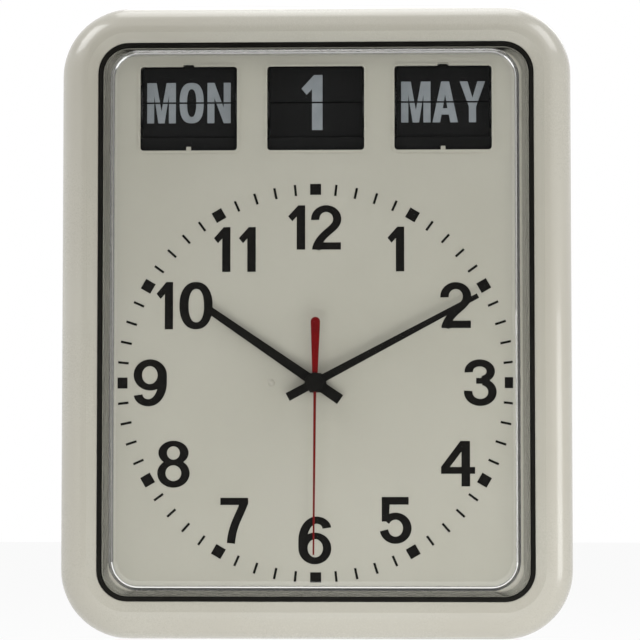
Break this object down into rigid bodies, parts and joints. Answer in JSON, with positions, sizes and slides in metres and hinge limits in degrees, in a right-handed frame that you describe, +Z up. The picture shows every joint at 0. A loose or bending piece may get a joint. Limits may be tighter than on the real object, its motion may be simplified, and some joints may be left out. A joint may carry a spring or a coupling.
{
  "type": "calendar clock",
  "caption": "Upright wall clock in a rounded case with an analogue dial under a clear lens and split-flap calendar windows for day, date and month.",
  "frame": {"origin": "point on the wall plane straight behind the hands' axis", "axes": "+Z up, +X to the right seen from the front, +Y into the wall"},
  "size_m": [0.322, 0.088, 0.399],
  "materials": {
    "case_plastic": "smooth cream moulding",
    "dial_paint": "satin grey-cream paint",
    "lens_acrylic": "clear polished moulding",
    "black_rubber": "smooth seal",
    "black_paint": "matt black",
    "red_paint": "satin red",
    "leaf_plastic": "matt black leaf",
    "movement_plastic": "moulded",
    "black_plastic": "moulded",
    "white_nylon": "natural moulded",
    "bright_steel": "plated steel",
    "yellow_brass": "turned",
    "copper_wire": "enamelled winding",
    "board_green": "lacquered board",
    "cell_jacket": "plain grey jacket"
  },
  "bodies": {
    "clock": {"front_case": "case_plastic", "rear_cover": "case_plastic", "rear_screws": "bright_steel", "hanger_plate": "bright_steel", "lens": "lens_acrylic", "lens_gasket": "black_rubber", "dial_plate": "dial_paint", "dial_markers": "black_paint", "dial_pin": "white_nylon", "dial_screws": "bright_steel", "battery_cells": "cell_jacket", "cell_contacts": "yellow_brass", "movement_base": "movement_plastic", "movement_cover": "movement_plastic", "centre_bush": "yellow_brass", "dial_nut": "yellow_brass", "stator": "bright_steel", "coil": "copper_wire", "circuit_board": "board_green", "calendar_frame": "bright_steel", "frame_screws": "bright_steel", "leaf_mask": "leaf_plastic", "leaf_fingers": "black_paint", "drum_axle": "bright_steel", "calendar_motor": "bright_steel"},
    "second": {"second_wheel": "white_nylon", "second_hand": "red_paint", "hub_cap": "black_paint"},
    "minute": {"minute_wheel": "white_nylon", "minute_hand": "black_paint"},
    "hour": {"hour_wheel": "white_nylon", "hour_hand": "black_paint"},
    "third": {"third_wheel": "white_nylon"},
    "motion": {"motion_wheel": "white_nylon"},
    "intermediate": {"intermediate_wheel": "white_nylon"},
    "rotor": {"rotor": "bright_steel"},
    "time_knob": {"time_knob": "black_plastic"},
    "lay_shaft": {"lay_shaft": "white_nylon"},
    "transfer_wheel": {"transfer_wheel": "white_nylon"},
    "reduction_gear": {"reduction_gear": "white_nylon"},
    "motor_pinion": {"motor_pinion": "yellow_brass"},
    "battery_door": {"battery_door": "case_plastic"},
    "day_drum": {"day_drum": "black_plastic", "day_leaves": "leaf_plastic"},
    "day_leaf": {"day_leaf": "leaf_plastic"},
    "day_button": {"day_button": "black_plastic"},
    "date_drum": {"date_drum": "black_plastic", "date_leaves": "leaf_plastic"},
    "date_leaf": {"date_leaf": "leaf_plastic"},
    "date_button": {"date_button": "black_plastic"},
    "month_drum": {"month_drum": "black_plastic", "month_leaves": "leaf_plastic"},
    "month_leaf": {"month_leaf": "leaf_plastic"},
    "month_button": {"month_button": "black_plastic"}
  },
  "joints": [
    {"name": "second_turn", "type": "hinge", "parent": "clock", "child": "second", "pos_m": [0, 0, 0], "axis": [0, 1, 0], "continuous": true},
    {"name": "minute_turn", "type": "hinge", "parent": "clock", "child": "minute", "pos_m": [0, 0, 0], "axis": [0, 1, 0], "continuous": true},
    {"name": "hour_turn", "type": "hinge", "parent": "clock", "child": "hour", "pos_m": [0, 0, 0], "axis": [0, 1, 0], "continuous": true},
    {"name": "third_turn", "type": "hinge", "parent": "clock", "child": "third", "pos_m": [-0.00974, 0, 0.00562], "axis": [0, 1, 0], "continuous": true},
    {"name": "motion_turn", "type": "hinge", "parent": "clock", "child": "motion", "pos_m": [0, 0, -0.009], "axis": [0, 1, 0], "continuous": true},
    {"name": "intermediate_turn", "type": "hinge", "parent": "clock", "child": "intermediate", "pos_m": [0.01083, 0, 0.00394], "axis": [0, 1, 0], "continuous": true},
    {"name": "rotor_turn", "type": "hinge", "parent": "clock", "child": "rotor", "pos_m": [0.01083, 0, 0.01444], "axis": [0, 1, 0], "continuous": true},
    {"name": "time_knob_turn", "type": "hinge", "parent": "clock", "child": "time_knob", "pos_m": [0, 0, -0.018], "axis": [0, 1, 0], "continuous": true},
    {"name": "calendar_drive", "type": "hinge", "parent": "clock", "child": "lay_shaft", "pos_m": [0, -0.0385, 0.2063], "axis": [-1, 0, 0], "range_deg": [0, 10.59]},
    {"name": "day_drum_turn", "type": "hinge", "parent": "clock", "child": "day_drum", "pos_m": [-0.08025, -0.0385, 0.1775], "axis": [1, 0, 0], "range_deg": [0, 12.86]},
    {"name": "day_leaf_fall", "type": "hinge", "parent": "day_drum", "child": "day_leaf", "pos_m": [-0.08025, -0.05142, 0.17896], "axis": [1, 0, 0], "range_deg": [0, 167.15]},
    {"name": "date_drum_turn", "type": "hinge", "parent": "clock", "child": "date_drum", "pos_m": [0, -0.0385, 0.1775], "axis": [1, 0, 0], "range_deg": [0, 11.61]},
    {"name": "date_leaf_fall", "type": "hinge", "parent": "date_drum", "child": "date_leaf", "pos_m": [0, -0.05143, 0.17882], "axis": [1, 0, 0], "range_deg": [0, 168.4]},
    {"name": "month_drum_turn", "type": "hinge", "parent": "clock", "child": "month_drum", "pos_m": [0.08025, -0.0385, 0.1775], "axis": [1, 0, 0], "range_deg": [0, 15]},
    {"name": "month_leaf_fall", "type": "hinge", "parent": "month_drum", "child": "month_leaf", "pos_m": [0.08025, -0.05139, 0.1792], "axis": [1, 0, 0], "range_deg": [0, 165.01]},
    {"name": "transfer_turn", "type": "hinge", "parent": "clock", "child": "transfer_wheel", "pos_m": [0.08025, -0.0385, 0.2063], "axis": [-1, 0, 0], "range_deg": [0, 13.7]},
    {"name": "reduction_turn", "type": "hinge", "parent": "clock", "child": "reduction_gear", "pos_m": [-0.035, -0.0205, 0.2063], "axis": [1, 0, 0], "range_deg": [0, 52.94]},
    {"name": "motor_turn", "type": "hinge", "parent": "clock", "child": "motor_pinion", "pos_m": [-0.041, -0.0205, 0.2208], "axis": [-1, 0, 0], "range_deg": [0, 254.12]},
    {"name": "day_button_press", "type": "slide", "parent": "clock", "child": "day_button", "axis": [0, -1, 0], "range_m": [0, 0.003], "stiffness_N_per_m": 150, "springref_m": -0.001},
    {"name": "date_button_press", "type": "slide", "parent": "clock", "child": "date_button", "axis": [0, -1, 0], "range_m": [0, 0.003], "stiffness_N_per_m": 150, "springref_m": -0.001},
    {"name": "month_button_press", "type": "slide", "parent": "clock", "child": "month_button", "axis": [0, -1, 0], "range_m": [0, 0.003], "stiffness_N_per_m": 150, "springref_m": -0.001},
    {"name": "battery_door_lift", "type": "slide", "parent": "clock", "child": "battery_door", "axis": [0, 1, 0], "range_m": [0, 0.06]}
  ],
  "couplings": [
    {"joint": "minute_turn", "follows": "second_turn", "ratio": 0.016667},
    {"joint": "hour_turn", "follows": "second_turn", "ratio": 0.0013889},
    {"joint": "third_turn", "follows": "second_turn", "ratio": -0.125},
    {"joint": "motion_turn", "follows": "second_turn", "ratio": -0.0055556},
    {"joint": "intermediate_turn", "follows": "second_turn", "ratio": -5},
    {"joint": "rotor_turn", "follows": "second_turn", "ratio": 30},
    {"joint": "time_knob_turn", "follows": "second_turn", "ratio": 0.016667},
    {"joint": "day_drum_turn", "follows": "calendar_drive", "ratio": 1.2143},
    {"joint": "day_leaf_fall", "follows": "calendar_drive", "ratio": 15.786},
    {"joint": "date_drum_turn", "follows": "calendar_drive", "ratio": 1.0968},
    {"joint": "date_leaf_fall", "follows": "calendar_drive", "ratio": 15.903},
    {"joint": "month_leaf_fall", "follows": "month_drum_turn", "ratio": 11},
    {"joint": "transfer_turn", "follows": "month_drum_turn", "ratio": 0.91176},
    {"joint": "reduction_turn", "follows": "calendar_drive", "ratio": 5},
    {"joint": "motor_turn", "follows": "calendar_drive", "ratio": 24}
  ]
}
